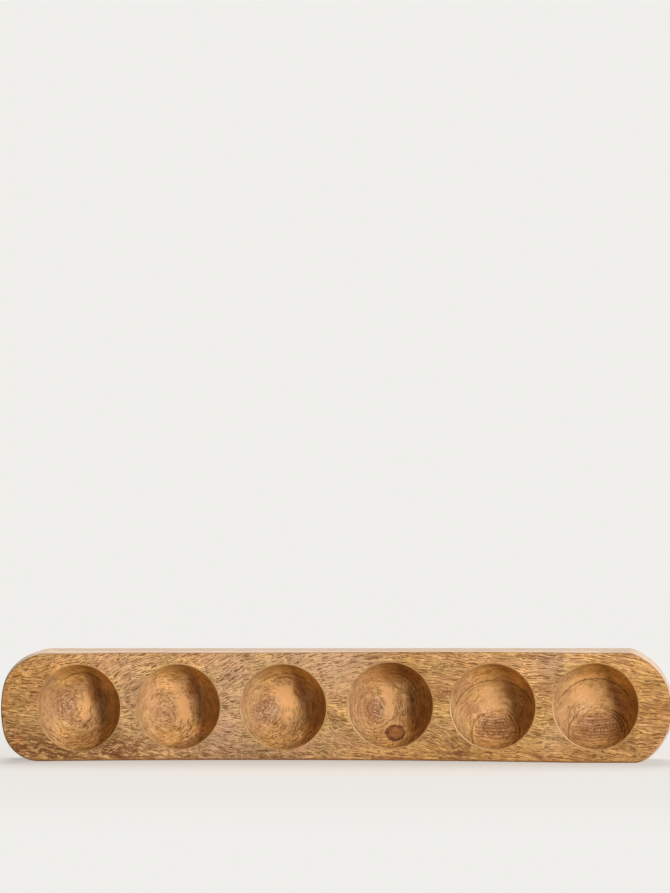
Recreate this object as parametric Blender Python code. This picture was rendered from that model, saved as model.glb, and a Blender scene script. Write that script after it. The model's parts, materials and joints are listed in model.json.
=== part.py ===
"""A wooden egg tray: one block of solid wood with a row of round hollows, on four small feet.

The tray stands on its long edge. +X runs along its length, the hollows open towards -Y, the
underside with its feet faces +Y, and +Z is up. The origin is under the middle of the tray's
bounding box, at its lowest point. All sizes are in metres.
"""

import math

import bmesh
import bpy

# The wooden block
TRAY_LENGTH = 0.400
TRAY_WIDTH = 0.066
TRAY_THICKNESS = 0.034
# How far the arc of each end stands out past its two corners
END_BULGE = 0.0187
# The soft turn between a long edge and the arc of an end
CORNER_RADIUS = 0.009
# The round-over on the edges of the face and of the underside
EDGE_ROUND = 0.002

# The hollows, which are parts of a ball
HOLLOW_DIAMETER = 0.0505
HOLLOW_DEPTH = 0.022
RIM_ROUND = 0.001
# From an end of the tray to the centre of the nearest hollow
END_MARGIN = 0.0464

# One row for each hollow, from the left. The hollows were set out by hand, so each strays a
# little along the tray and across it, by shares of the pitch, and has its own size, as a share
# of the hollow's diameter and depth
HOLLOW_SHARES = (
    (0.011, -0.018, 0.990),
    (-0.018, -0.003, 0.986),
    (0.004, -0.005, 0.994),
    (0.038, 0.011, 1.000),
    (0.025, 0.001, 1.004),
    (0.011, 0.004, 1.010),
)

# The feet, stuck to the underside near its four corners
FOOT_DIAMETER = 0.010
FOOT_HEIGHT = 0.0017
FOOT_ROUND = 0.0005
FOOT_END_MARGIN = 0.046
FOOT_EDGE_MARGIN = 0.015
# Between a foot and the wood it sits on
SEAT_GAP = 0.0003

# How far a cutter runs past the face that it opens
OVERRUN = 0.002
# Points closer than this are one point
MERGE_DISTANCE = 0.000001

# How finely the round shapes are divided
END_STEPS = 24
CORNER_STEPS = 5
EDGE_STEPS = 4
BOWL_STEPS = 9
RIM_STEPS = 3
HOLLOW_SIDES = 40
FOOT_STEPS = 3
FOOT_SIDES = 28
SHARP_ANGLE = math.radians(30)

# The places that several pieces share
TOTAL_DEPTH = TRAY_THICKNESS + SEAT_GAP + FOOT_HEIGHT
FACE_Y = -TOTAL_DEPTH / 2
UNDERSIDE_Y = FACE_Y + TRAY_THICKNESS
MIDDLE_Z = TRAY_WIDTH / 2
HOLLOW_PITCH = (TRAY_LENGTH - 2 * END_MARGIN) / (len(HOLLOW_SHARES) - 1)


def clear_scene():
    """Removes what the scene holds, so that each run starts from nothing."""
    for old in list(bpy.data.objects):
        bpy.data.objects.remove(old)


def make_material(name, colour, roughness, metallic=0.0):
    """A plain Principled material."""
    material = bpy.data.materials.new(name)
    material.use_nodes = True
    shader = material.node_tree.nodes["Principled BSDF"]
    shader.inputs["Base Color"].default_value = (*colour, 1.0)
    shader.inputs["Roughness"].default_value = roughness
    shader.inputs["Metallic"].default_value = metallic
    return material


def add_object(name, mesh, parent, location):
    """Links a mesh to the scene under a parent, at a place given from the parent's origin."""
    new = bpy.data.objects.new(name, mesh)
    bpy.context.scene.collection.objects.link(new)
    new.parent = parent
    new.location = location
    return new


def finish_mesh(form, name):
    """Turns the faces of a bmesh outwards and makes it a smooth shaded mesh."""
    bmesh.ops.recalc_face_normals(form, faces=form.faces)
    mesh = bpy.data.meshes.new(name)
    form.to_mesh(mesh)
    form.free()
    mesh.shade_smooth()
    mesh.set_sharp_from_angle(angle=SHARP_ANGLE)
    return mesh


def arc_points(centre, radius, start, end, steps):
    """Points on an arc from one angle to another, both ends included."""
    turns = [start + (end - start) * step / steps for step in range(steps + 1)]
    return [(centre[0] + radius * math.cos(a), centre[1] + radius * math.sin(a)) for a in turns]


def right_end_points():
    """The outline of the right end from the lower long edge to the upper one, as (x, z)
    from the block's centre: a corner arc, the end's wide arc and the other corner arc, each
    tangent to the next."""
    half_width = TRAY_WIDTH / 2
    end_radius = (half_width**2 + END_BULGE**2) / (2 * END_BULGE)
    end_x = TRAY_LENGTH / 2 - end_radius
    corner_z = half_width - CORNER_RADIUS
    reach = math.sqrt((end_radius - CORNER_RADIUS) ** 2 - corner_z**2)
    join_angle = math.atan2(corner_z, reach)
    quarter = math.pi / 2
    lower = arc_points(
        (end_x + reach, -corner_z), CORNER_RADIUS, -quarter, -join_angle, CORNER_STEPS
    )
    middle = arc_points((end_x, 0), end_radius, -join_angle, join_angle, END_STEPS)
    upper = arc_points(
        (end_x + reach, corner_z), CORNER_RADIUS, join_angle, quarter, CORNER_STEPS
    )
    return lower + middle[1:-1] + upper


def block_mesh():
    """The plain block: the tray's outline, extruded from the face to the underside."""
    right = right_end_points()
    left = [(-x, -z) for x, z in right]
    form = bmesh.new()
    corners = [form.verts.new((x, 0, z)) for x, z in right + left]
    outline = form.faces.new(corners)
    pushed = bmesh.ops.extrude_face_region(form, geom=[outline])
    moved = [part for part in pushed["geom"] if isinstance(part, bmesh.types.BMVert)]
    bmesh.ops.translate(form, verts=moved, vec=(0, TRAY_THICKNESS, 0))
    return finish_mesh(form, "tray_block")


def turned_mesh(name, profile, sides):
    """A solid turned about the Y axis from a profile of (radius, y) that starts and ends on
    the axis."""
    form = bmesh.new()
    points = [form.verts.new((radius, y, 0)) for radius, y in profile]
    lines = [form.edges.new(pair) for pair in zip(points, points[1:])]
    bmesh.ops.spin(
        form,
        geom=points + lines,
        cent=(0, 0, 0),
        axis=(0, 1, 0),
        angle=math.tau,
        steps=sides,
    )
    bmesh.ops.remove_doubles(form, verts=form.verts, dist=MERGE_DISTANCE)
    return finish_mesh(form, name)


def hollow_profile(size_share):
    """The section of one hollow's cutter, as (radius, y) from the face: the bowl's arc from
    its deepest point, the round-over of the rim, which runs on past the face, and a lid."""
    mouth = size_share * HOLLOW_DIAMETER / 2
    depth = size_share * HOLLOW_DEPTH
    ball = (mouth**2 + depth**2) / (2 * depth)
    ball_y = depth - ball
    rim_drop = RIM_ROUND - ball_y
    rim_radius = math.sqrt((ball + RIM_ROUND) ** 2 - rim_drop**2)
    rim_angle = math.atan2(rim_drop, rim_radius)
    quarter = math.pi / 2
    bowl = arc_points((0, ball_y), ball, quarter, rim_angle, BOWL_STEPS)
    rim = arc_points(
        (rim_radius, RIM_ROUND), RIM_ROUND, rim_angle + math.pi, 3 * quarter, RIM_STEPS
    )
    before, last = rim[-2:]
    past = (2 * last[0] - before[0], 2 * last[1] - before[1])
    lid = [(past[0], past[1] - OVERRUN), (0, past[1] - OVERRUN)]
    return [(0, depth)] + bowl[1:] + rim[1:-1] + [past] + lid


def cut_hollows(block):
    """Cuts the row of hollows into the block's face."""
    for number, (along_share, across_share, size_share) in enumerate(HOLLOW_SHARES, 1):
        middle = (len(HOLLOW_SHARES) + 1) / 2
        x = (number - middle + along_share) * HOLLOW_PITCH
        z = across_share * HOLLOW_PITCH
        mesh = turned_mesh(f"hollow_cutter_{number}", hollow_profile(size_share), HOLLOW_SIDES)
        cutter = add_object(mesh.name, mesh, block, (x, 0, z))
        cutter.hide_render = True
        cutter.display_type = "WIRE"
        cut = block.modifiers.new(f"hollow_{number}", "BOOLEAN")
        cut.operation = "DIFFERENCE"
        cut.solver = "EXACT"
        cut.object = cutter


def add_block(parent):
    """The wooden block, with its edges rounded over and its hollows cut."""
    mesh = block_mesh()
    mesh.materials.append(make_material("oiled_wood", (0.55, 0.31, 0.135), 0.55))
    block = add_object("tray_block", mesh, parent, (0, FACE_Y, MIDDLE_Z))
    rounding = block.modifiers.new("edge_round", "BEVEL")
    rounding.width = EDGE_ROUND
    rounding.segments = EDGE_STEPS
    rounding.limit_method = "ANGLE"
    rounding.angle_limit = SHARP_ANGLE
    cut_hollows(block)


def foot_profile():
    """The section of a foot, as (radius, y) from the side that is stuck to the wood."""
    radius = FOOT_DIAMETER / 2
    centre = (radius - FOOT_ROUND, FOOT_HEIGHT - FOOT_ROUND)
    edge = arc_points(centre, FOOT_ROUND, 0, math.pi / 2, FOOT_STEPS)
    return [(0, 0), (radius, 0)] + edge + [(0, FOOT_HEIGHT)]


def add_feet(parent):
    """Four round feet on the underside, named as the tray stands, seen from the face."""
    mesh = turned_mesh("foot", foot_profile(), FOOT_SIDES)
    mesh.materials.append(make_material("foot_rubber", (0.045, 0.035, 0.028), 0.7))
    reach_x = TRAY_LENGTH / 2 - FOOT_END_MARGIN
    reach_z = TRAY_WIDTH / 2 - FOOT_EDGE_MARGIN
    for row, up in (("upper", 1), ("lower", -1)):
        for side, along in (("left", -1), ("right", 1)):
            place = (along * reach_x, UNDERSIDE_Y + SEAT_GAP, MIDDLE_Z + up * reach_z)
            add_object(f"foot_{row}_{side}", mesh, parent, place)


def main():
    """Builds the tray."""
    clear_scene()
    tray = add_object("egg_tray", None, None, (0, 0, 0))
    add_block(tray)
    add_feet(tray)


main()
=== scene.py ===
"""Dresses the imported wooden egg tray: its block with the grain of the wood, its feet, and a
pale stage with the light and the camera."""

import json
import math
from types import SimpleNamespace

import bmesh
import bpy
import numpy as np
from bpy.props import FloatProperty, FloatVectorProperty, PointerProperty
from bpy.types import Operator, Panel, PropertyGroup
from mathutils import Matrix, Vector


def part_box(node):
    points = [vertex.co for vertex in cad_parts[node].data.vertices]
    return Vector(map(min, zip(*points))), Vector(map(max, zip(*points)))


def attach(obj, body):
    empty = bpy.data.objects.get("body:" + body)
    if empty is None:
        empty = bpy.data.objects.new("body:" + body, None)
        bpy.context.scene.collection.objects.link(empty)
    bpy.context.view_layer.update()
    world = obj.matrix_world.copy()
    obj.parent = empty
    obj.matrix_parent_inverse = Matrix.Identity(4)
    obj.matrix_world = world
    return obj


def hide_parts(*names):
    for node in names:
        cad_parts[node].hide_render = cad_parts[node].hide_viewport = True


bl_info = {
    "name": "Egg Tray",
    "version": (1, 0, 0),
    "blender": (4, 5, 0),
    "location": "View3D > Sidebar > Egg Tray",
    "description": "Dresses a wooden egg tray with its grain, its feet and a pale stage",
    "category": "Add Mesh",
}

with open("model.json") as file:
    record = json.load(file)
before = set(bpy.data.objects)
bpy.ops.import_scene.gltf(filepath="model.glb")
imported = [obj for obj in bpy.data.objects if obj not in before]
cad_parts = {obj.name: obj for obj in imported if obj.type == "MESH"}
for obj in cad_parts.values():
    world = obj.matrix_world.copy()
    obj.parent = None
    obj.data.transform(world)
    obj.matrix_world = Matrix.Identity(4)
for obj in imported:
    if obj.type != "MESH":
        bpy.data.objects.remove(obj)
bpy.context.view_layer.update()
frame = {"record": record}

# The block's corners, and the planes and half sizes that follow from them
BLOCK_LOW, BLOCK_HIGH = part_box("tray_block")
FACE_Y = BLOCK_LOW.y
THICKNESS = BLOCK_HIGH.y - BLOCK_LOW.y
HALF_LENGTH = (BLOCK_HIGH.x - BLOCK_LOW.x) / 2
HALF_WIDTH = (BLOCK_HIGH.z - BLOCK_LOW.z) / 2
MIDDLE_Z = (BLOCK_HIGH.z + BLOCK_LOW.z) / 2
FEET = ("foot_upper_left", "foot_upper_right", "foot_lower_left", "foot_lower_right")

# Millimetres in a metre, and how close points lie that are welded, in metres
MM = 1000.0
WELD_REACH = 0.000001

# How finely the curves and the flat parts are divided
CORNER_POINTS = 17
END_POINTS = 65
EDGE_STEP = 0.0016
ARRIS_POINTS = 6
ROUND_POINTS = 10
BOWL_POINTS = 42
RIM_POINTS = 9
LAND_STEPS = 12
WALL_POINTS = 41
SIDE_STEPS = 10
RUNG_STEPS = 14
FOOT_POINTS = 9
FOOT_SIDES = 96

# How far below the face the rubbed arris and the worn shoulder of the edges go down, and the
# strip along the long edges, measured inwards, where the arris fades in
ARRIS_DEEP = 0.0012
SHOULDER_DEEP = 0.0050
ARRIS_STRIP = (0.0016, 0.0010)

# What lies past this share of a hollow's radius is no longer its rim
RIM_SHARE = 1.06

# The lengths that the waves of the faces and the drift of the growth layers are counted in,
# and how far the layers drift, in metres
WAVE_ALONG, WAVE_ACROSS, WAVE_LONG = 0.023, 0.017, 0.041
DRIFT_ALONG, DRIFT_SHORT, DRIFT_ACROSS = 0.031, 0.013, 0.009
DRIFT_SLOW, DRIFT_QUICK = 0.0035, 0.002

# The distance of points that are nowhere near an arc or the knot, in millimetres or shares
FAR = 9.0

# The fibres lie at whole steps of this angle
LIE_STEP = math.radians(7)

# The picture's height and the tray's length in it, and how far the middle of the picture lies
# from the camera's axis, to the right and up, all in pixels, and the width of the camera's
# sensor in millimetres
PICTURE_HIGH = 893
TRAY_PIXELS = 674.8
SHIFT_PIXELS = (1.6, -1.25)
SENSOR_WIDE = 36.0

# The floor's half width, how far it lies below the tray, how distances on it are drawn out
# along the tray, and how far the part where the shadow is deeper lies to the left
FLOOR_REACH = 12.0
FLOOR_GAP = 0.0001
FLOOR_STRETCH = (0.5, 1.0, 1.0)
SHADOW_SHIFT = (0.12, 0.0, 0.0)

# The place of each lamp, its width and height, and its colour, the colour of the light that
# comes from all around, and the way to the bright ceiling
KEY_PLACE, KEY_SIZE, KEY_COLOUR = (3.83, -4.90, 0.80), (0.72, 1.4), (1.0, 0.98, 0.94)
TOP_PLACE, TOP_SIZE, TOP_COLOUR = (0.0, 1.10, 2.2), (1.6, 1.6), (1.0, 0.99, 0.98)
FILL_COLOUR = (1.0, 0.90, 0.78)
CEILING_WAY = (0.5, 0.1, 0.86)

# One row for each hollow, from the left: its size, its width and its height, as shares of the plain
# hollow, how strongly its rim gets the painted highlight and how light its wood is
HOLLOW_SHARES = (
    (0.990, 0.984, 1.020, 0.20, 1.00),
    (0.986, 0.990, 1.000, 0.25, 1.02),
    (0.994, 1.004, 1.000, 0.40, 0.99),
    (1.000, 0.990, 1.002, 0.60, 0.96),
    (1.000, 0.988, 0.994, 0.85, 0.99),
    (1.004, 0.985, 0.996, 0.85, 1.00),
)

# One row for each hollow: how steeply the growth layers lean along the tray and across it
LEAN_SHARES = (
    (-0.34, -0.02),
    (-0.42, -0.20),
    (-0.50, -0.14),
    (-0.42, -0.15),
    (-0.02, -0.70),
    (0.04, -0.68),
)

# The grey-brown heart of each hollow: its place and half sizes as shares of the hollow's
# radius, how speckled it is, how lined it is and how strongly it shows
HEART_SHARES = (
    (-0.46, 0.06, 0.35, 0.42, 1.0, 0.0, 0.72),
    (-0.42, -0.20, 0.38, 0.36, 0.5, 0.3, 0.35),
    (-0.50, -0.14, 0.34, 0.34, 1.0, 0.0, 0.75),
    (-0.42, -0.16, 0.24, 0.32, 1.0, 0.0, 0.85),
    (0.01, -0.66, 0.52, 0.53, 0.1, 1.0, 0.90),
    (0.02, -0.62, 0.67, 0.50, 0.2, 1.0, 0.90),
)

# The knot in the fourth hollow: its place and half sizes as shares of the hollow's radius, and
# then the place and the size of its middle as shares of those half sizes
KNOT_HOLLOW = 3
KNOT_SHARES = (0.075, -0.680, 0.236, 0.176)
KNOT_CORE_SHARES = (0.12, -0.08, 0.70)

# Thin dark arcs, with a row for each hollow. An arc has the place and half sizes of an ellipse,
# in hundredths of the hollow's radius, and the angles in degrees where it starts and ends
ARC_SHARES = (
    ((0, 2, 70, 78, 50, 125),),
    (),
    ((0, 5, 76, 72, 40, 130), (3, 5, 66, 62, 50, 120)),
    ((5, 0, 60, 72, 25, 100),),
    (
        (3, -12, 92, 70, 15, 165), (1, -66, 52, 53, -25, 55), (1, -66, 52, 53, 125, 205),
        (3, -64, 60, 56, -5, 60),
    ),
    (
        (0, -12, 88, 74, 30, 150), (2, -62, 67, 50, -15, 55), (2, -62, 67, 50, 135, 195),
        (4, -61, 74, 54, -5, 62), (0, -62, 62, 45, 0, 50),
    ),
)

# Soft patches. The first four numbers of a patch are its place along the tray and across it and its
# reach along and across, in hundredths, and the fifth is its strength. In the hollows they are
# hundredths of the hollow's radius, with a row of patches for each hollow: its smooth pale parts,
# which are partly painted light, its painted shade, where it is drawn lighter or, below zero,
# darker, partly by the wood's tone and partly as painted light and shade, and where it is strewn
# with dark flecks and painted glints
# Partly painted light: the smooth pale peach parts stand in partly for the lit middles of the
# hollows.
PALE_AND_LIT_SHARES = (
    ((7, 12, 16, 26, 1), (2, -24, 20, 14, 0.7)),
    ((-16, 42, 20, 20, 0.8), (0, 2, 20, 28, 1), (6, -28, 20, 16, 0.8)),
    ((-8, 34, 27, 20, 1), (4, 8, 24, 22, 1.1), (2, -26, 22, 14, 0.7)),
    ((-15, 32, 16, 20, 0.9), (-6, 10, 15, 18, 0.9), (-9, -20, 17, 16, 1.1)),
    ((-12, 30, 28, 20, 0.9), (0, -2, 18, 17, 1.1)),
    ((-32, 26, 32, 24, 1), (-4, -2, 24, 11, 0.7), (6, 24, 20, 16, 0.6)),
)
# Painted shade: these patches darken the hollows where the key light's shadow falls in them.
PAINTED_SHADE_SHARES = (
    (
        (15, 68, 40, 20, 0.35), (29, 33, 16, 24, 1.9), (10, -75, 60, 26, 0.4),
        (-60, 30, 30, 40, 0.35),
    ),
    ((28, 40, 16, 24, 1.4), (-42, 6, 18, 16, 0.5)),
    ((31, 35, 15, 24, 1.3), (-10, 74, 50, 20, 0.35), (-58, -8, 26, 40, 0.5)),
    (
        (62, 66, 16, 22, 0.8), (5, 74, 50, 22, 1), (0, 52, 26, 12, 0.3), (45, -10, 12, 40, 0.6),
        (-60, 5, 26, 70, 0.45), (-40, -18, 18, 22, 0.6), (30, -60, 30, 30, 0.5),
        (-22, -66, 10, 14, 0.5),
    ),
    (
        (32, 32, 13, 26, 0.75), (5, 74, 55, 20, 0.3), (4, 52, 24, 12, 0.5), (50, 5, 10, 30, 0.4),
        (36, -42, 16, 25, 0.5), (-42, -10, 20, 20, 0.45), (-68, 0, 25, 50, 0.45),
    ),
    ((34, 34, 14, 24, 0.65), (5, 74, 55, 20, 0.2), (-60, 0, 25, 45, 0.35)),
)
# Partly the wood's own tone and partly painted light and shade: these patches lighten or darken the
# hollows' walls where they lie in light or in shadow.
LIGHT_AND_SHADE_SHARES = (
    (
        (-48, 60, 25, 25, 0.15), (-50, -60, 25, 25, 0.28), (-64, -62, 12, 16, 0.15),
        (2, -8, 28, 30, 0.24),
    ),
    (
        (-46, 58, 26, 26, 0.6), (-78, 10, 16, 50, 0.3), (0, -65, 40, 25, 0.2),
        (-2, 40, 20, 22, -0.1), (25, -35, 18, 22, 0.1),
    ),
    ((12, -20, 26, 26, 0.16), (6, 5, 25, 25, 0.1), (50, 0, 12, 90, 0.1), (80, 0, 18, 60, -0.08)),
    (
        (28, 30, 18, 24, 0.18), (48, -58, 20, 22, 0.22), (0, -92, 40, 12, 0.35),
        (-50, 60, 30, 30, 0.12), (-66, -2, 22, 50, 0.09),
    ),
    (
        (0, -50, 50, 30, 0.12), (0, 10, 20, 24, -0.06), (-50, 58, 22, 22, 0.15),
        (0, -86, 50, 18, 0.28), (0, -24, 34, 10, 0.28), (0, 75, 40, 20, 0.12),
        (80, 0, 18, 60, -0.11), (-62, 0, 20, 50, 0.04),
    ),
    (
        (2, 22, 24, 22, -0.1), (0, -40, 50, 20, 0.14), (0, -22, 42, 10, 0.22),
        (-50, 58, 22, 22, 0.12), (0, -90, 50, 12, 0.12),
    ),
)
# Partly painted highlight: dark brown dots of the grain and pale dots that are painted glints of
# the key light.
FLECK_GLINT_SHARES = (
    ((-38, 15, 28, 35, 0.6),),
    (),
    ((-55, -18, 24, 24, 1), (-22, 5, 10, 25, 0.6)),
    ((-36, -14, 16, 26, 1),),
    ((-12, -11, 30, 7, 0.8),),
    ((-5, -9, 40, 7, 1), (-45, -16, 16, 12, 0.8)),
)

# On the board they are hundredths of the half length and the half width. First where the
# edges are sanded rounder, where the strength is what that adds to the round-over's share,
# and the lie of the fibres, where it is an angle in degrees above the tray's length
SANDED_SHARES = (
    (92, 85, 7, 50, 1.1), (100, 10, 5, 50, 0.9), (95, -65, 6, 35, 1), (-93, 80, 6, 35, 1.5),
    (-80, 100, 16, 30, 1.4), (-35, 100, 36, 30, 0.75), (35, 100, 20, 30, -0.2),
    (78, 100, 16, 30, 0.8),
)
LIE_SHARES = (
    (-86, 66, 9, 34, 20), (-68, 82, 12, 30, 30), (-61, 34, 7, 42, 30), (-40, 88, 12, 26, 28),
    (-31, 42, 8, 44, 34), (-12, 88, 14, 26, 25), (1, 50, 7, 36, 22), (16, 92, 10, 20, 12),
    (-62, -80, 15, 30, -9), (-38, -72, 12, 26, -14), (1, -45, 7, 40, -10), (34, -64, 7, 26, -30),
    (88, 75, 10, 30, -8),
)

# Where the board is greyer, darker or more golden, and small orange patches at its ends. The darker
# patches along the lower edge are partly painted shade
GREY_SHARES = (
    (-60, 30, 9, 70, 0.6), (-32, 10, 8, 90, 0.9), (-36, -80, 24, 35, 0.7), (-5, 85, 24, 30, 0.9),
    (0, 50, 6, 40, 0.6), (-5, -80, 20, 30, 0.5), (64, 80, 5, 30, 0.9), (-72, 88, 14, 22, 0.4),
    (64, -60, 4, 30, 0.6),
)
# Partly painted shade: the rows along the lower edge darken the face towards the floor.
DARK_SHARES = (
    (-30, -98, 60, 28, 0.3), (50, -98, 50, 28, 0.3), (95, -20, 8, 80, 0.5), (-90, -80, 13, 32, 1.2),
    (-66, -74, 12, 28, 1), (-90, 40, 5, 30, 0.5), (-97, 0, 4, 120, 0.5), (-45, -92, 10, 14, 0.5),
    (36, -70, 5, 25, 0.5), (32, 5, 5, 60, 0.45), (-45, 92, 16, 16, 0.35), (30, -96, 20, 20, 0.25),
    (-30, -92, 12, 16, 0.3), (62, 75, 7, 30, 0.2), (84, -55, 5, 22, 0.8), (-20, -70, 8, 25, 0.5),
)
GOLD_SHARES = (
    (-80, 70, 14, 45, 0.8), (22, 80, 5, 25, 0.8), (22, -88, 16, 16, 0.9), (45, 0, 40, 100, 0.6),
    (90, 10, 20, 90, 0.8), (15, -95, 90, 30, 1), (-92, 10, 10, 80, 0.6),
)
FLARE_SHARES = (
    (-98.2, 10, 0.8, 20, 0.8), (-94.7, -63, 1, 6, 1.2), (-94.7, 60, 0.9, 7, 0.9),
    (96, -5, 1.4, 14, 0.5),
)


def seen(red, green, blue):
    """A colour given as it shows on a screen, from 0 to 255, as linear values."""
    shares = np.array((red, green, blue)) / 255
    linear = np.where(shares > 0.04045, ((shares + 0.055) / 1.055) ** 2.4, shares / 12.92)
    return tuple(float(value) for value in linear)


def number(name, description, default, unit="LENGTH"):
    """A setting that is one number."""
    return FloatProperty(name=name, description=description, default=default, unit=unit)


def lengths(name, description, *default):
    """A setting that is a row of lengths."""
    return FloatVectorProperty(
        name=name, description=description, default=default, size=len(default), unit="LENGTH"
    )


def tint(name, description, *default):
    """A setting that is a colour, given as linear values."""
    return FloatVectorProperty(
        name=name, description=description, default=default, subtype="COLOR"
    )


def colour(name, description, *shown):
    """A setting that is a colour, given as it shows on a screen."""
    return tint(name, description, *seen(*shown))


class WoodSettings(PropertyGroup):
    """The sizes of the wooden block that the frame doesn't give, and its colours."""

    left_end: lengths(
        "Left end",
        "How far its arc stands out past its corners, how far the arc's middle lies below the "
        "tray's middle, and the radii of its lower and its upper corner",
        *(0.009, 0.0019, 0.0225, 0.0270),
    )
    right_end: lengths(
        "Right end", "The same sizes for the right end", 0.0215, 0.0011, 0.0150, 0.0110
    )
    bow: lengths(
        "Bow",
        "How far the lower long edge rises in its middle, where that middle is, and how far "
        "the rise reaches to each side",
        *(0.00125, -0.025, 0.165),
    )
    edge_round: number("Edge round-over", "The radius of the sanded edges to the wall", 0.0015)
    arris_round: number("Arris round-over", "The tighter radius towards the face", 0.0005)
    arris_angle: number(
        "Arris angle", "How far the tighter radius turns", math.radians(38), "ROTATION"
    )
    hollow_diameter: number("Hollow diameter", "The width of a hollow at the face", 0.0505)
    hollow_depth: number("Hollow depth", "The depth of a hollow below the face", 0.022)
    rim_round: number("Rim round-over", "The radius of the sanded rim of a hollow", 0.0006)
    waviness: number("Waviness", "How far the hand-sanded faces stray from flat", 0.00012)
    pale: colour("Pale wood", "The lightest fibres", 238, 197, 142)
    tan: colour("Tan wood", "The main colour of the wood", 205, 156, 98)
    brown: colour("Brown wood", "The darkest fibres", 142, 91, 43)
    pore: colour("Pores", "The open pores", 104, 58, 21)
    heart: colour("Heart", "The grey-brown of the deepest layers", 173, 129, 91)
    mauve: colour("Mauve wood", "The pale lines and dots of the hearts", 208, 164, 124)
    # Partly painted light: the peach of the smooth parts stands in partly for the light in the
    # hollows' middles; it also colours the knot's halo.
    peach: colour("Peach wood", "The smooth parts of the hollows", 237, 180, 120)
    # Painted shade: the brown that the hollows' painted shade patches are drawn in.
    shade_brown: colour("Ember wood", "The dusky parts of the hollows", 150, 92, 36)
    # Painted shade: this amber tint stands in for the warm shade on the hollows' steep walls.
    shade_amber: tint("Amber tint", "The steep parts of the hollows", 0.98, 0.82, 0.46)
    gold: tint("Golden tint", "The yellow parts of the board", 0.99, 0.91, 0.68)
    straw: tint("Straw tint", "Where the wood leans to yellow", 0.980, 1.028, 0.955)
    blush: tint("Blush tint", "Where the wood leans to pink", 1.008, 0.978, 1.03)
    grey: colour("Greyish wood", "The dull, pinkish parts of the board", 203, 166, 135)
    flare: colour("Orange wood", "The small orange patches at the ends", 208, 116, 52)
    # Painted light: the pale colour of the narrow side that faces up, where the light from above
    # and its sheen fall.
    lit_top: colour("Dry wood", "The narrow side that faces up", 200, 180, 165)
    # Painted highlight: the pale colour of the edges that face up and right, towards the light, and
    # of the pale glints in the hollows.
    painted_highlight: colour("Worn edges", "The rubbed edges that face up and right", 232, 207, 183)
    # Painted highlight: the pale line on the rims that face the light.
    lit: colour("Rubbed rims", "The hollows' rims where they are rubbed", 248, 212, 160)
    knot: colour("Knot", "The knot's rim", 104, 58, 30)
    knot_core: colour("Knot core", "The knot's middle", 154, 99, 54)
    knot_streak: colour("Knot streaks", "The lighter streaks in the knot", 186, 134, 80)


class FootSettings(PropertyGroup):
    """The finish of the feet."""

    edge_round: number("Foot edge", "The radius of a foot's outer edge", 0.0005)
    rubber: colour("Rubber", "The colour of the feet", 62, 53, 47)


class StageSettings(PropertyGroup):
    """The floor, the light and the camera."""

    backdrop: colour("Backdrop", "The floor and all that is behind", 240, 239, 235)
    # Painted reflection: the warm tint near the tray stands in for the light that the wood throws
    # on the floor.
    painted_bounce: colour("Near floor", "The floor that the wood warms", 242, 234, 225)
    bounce: tint("Bounce", "The floor, for the light that it throws back", 0.42, 0.38, 0.33)
    camera_distance: number("Camera distance", "From the camera to the tray's face", 2.2)
    camera_height: number("Camera height", "From the floor to the level camera", 0.188)
    camera_turn: number(
        "Camera turn", "How far it goes round the tray, to the right", math.radians(4.5), "ROTATION"
    )
    camera_roll: number(
        "Camera roll", "How far it is rolled to the right", math.radians(0.25), "ROTATION"
    )
    key_power: number("Key light", "The lamp in front, to the right", 430.0, "POWER")
    top_power: number("Top light", "The soft lamp overhead", 52.0, "POWER")
    fill: number("Fill", "The strength of the light from all around", 0.06, "NONE")


class TraySettings(PropertyGroup):
    """All that can be changed on the tray and its stage."""

    wood: PointerProperty(type=WoodSettings)
    foot: PointerProperty(type=FootSettings)
    stage: PointerProperty(type=StageSettings)


def smooth(low, high, value):
    """A soft step: 0 below low, 1 above high, with level ends between."""
    share = np.clip((value - low) / (high - low), 0, 1)
    return share * share * (3 - 2 * share)


def hump(rise, full, fall, end, value):
    """A soft hump: 0 below rise and above end, 1 from full to fall."""
    return smooth(rise, full, value) * (1 - smooth(fall, end, value))


def blobs(patches, along, across):
    """The sum of soft round patches. Each is its strength times e to the minus square of the
    distance from its middle, counted in its own reaches."""
    total = np.zeros_like(along)
    for middle_along, middle_across, reach_along, reach_across, strength in patches:
        u = (100 * along - middle_along) / reach_along
        v = (100 * across - middle_across) / reach_across
        total += strength * np.exp(-(u * u) - v * v)
    return total


def hollow_blobs(table, at):
    """The sum of the soft patches of each point's own hollow."""
    total = np.zeros_like(at.u)
    for place, patches in enumerate(table):
        own = at.hollow == place
        total[own] = blobs(patches, at.u[own], at.w[own])
    return total


def arc_distance(at):
    """How far each point is from the nearest thin arc of its own hollow, in millimetres. Past
    the arc's ends the distance grows by a millimetre for every twelve degrees."""
    nearest = np.full_like(at.u, FAR)
    for place, arcs in enumerate(ARC_SHARES):
        own = at.hollow == place
        for along, across, half_along, half_across, start, end in arcs:
            u = (100 * at.u[own] - along) / half_along
            w = (100 * at.w[own] - across) / half_across
            narrow = min(half_along, half_across) / 100 * at.mouth[own] * MM
            off = np.abs(np.hypot(u, w) - 1) * narrow
            middle, reach = (start + end) / 2, (end - start) / 2
            turned = (np.degrees(np.arctan2(w, u)) - middle + 180) % 360 - 180
            off += np.maximum(np.abs(turned) - reach, 0) / 12
            nearest[own] = np.minimum(nearest[own], off)
    return nearest


def hollow_centres():
    """The middle of each hollow as (x, z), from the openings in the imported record."""
    boxes = [
        opening["box_m"]
        for opening in frame["record"]["physics"]["openings"]
        if not opening["name"].endswith("deep")
    ]
    return [((low[0] + high[0]) / 2, (low[2] + high[2]) / 2 - MIDDLE_Z) for low, high in boxes]


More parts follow.
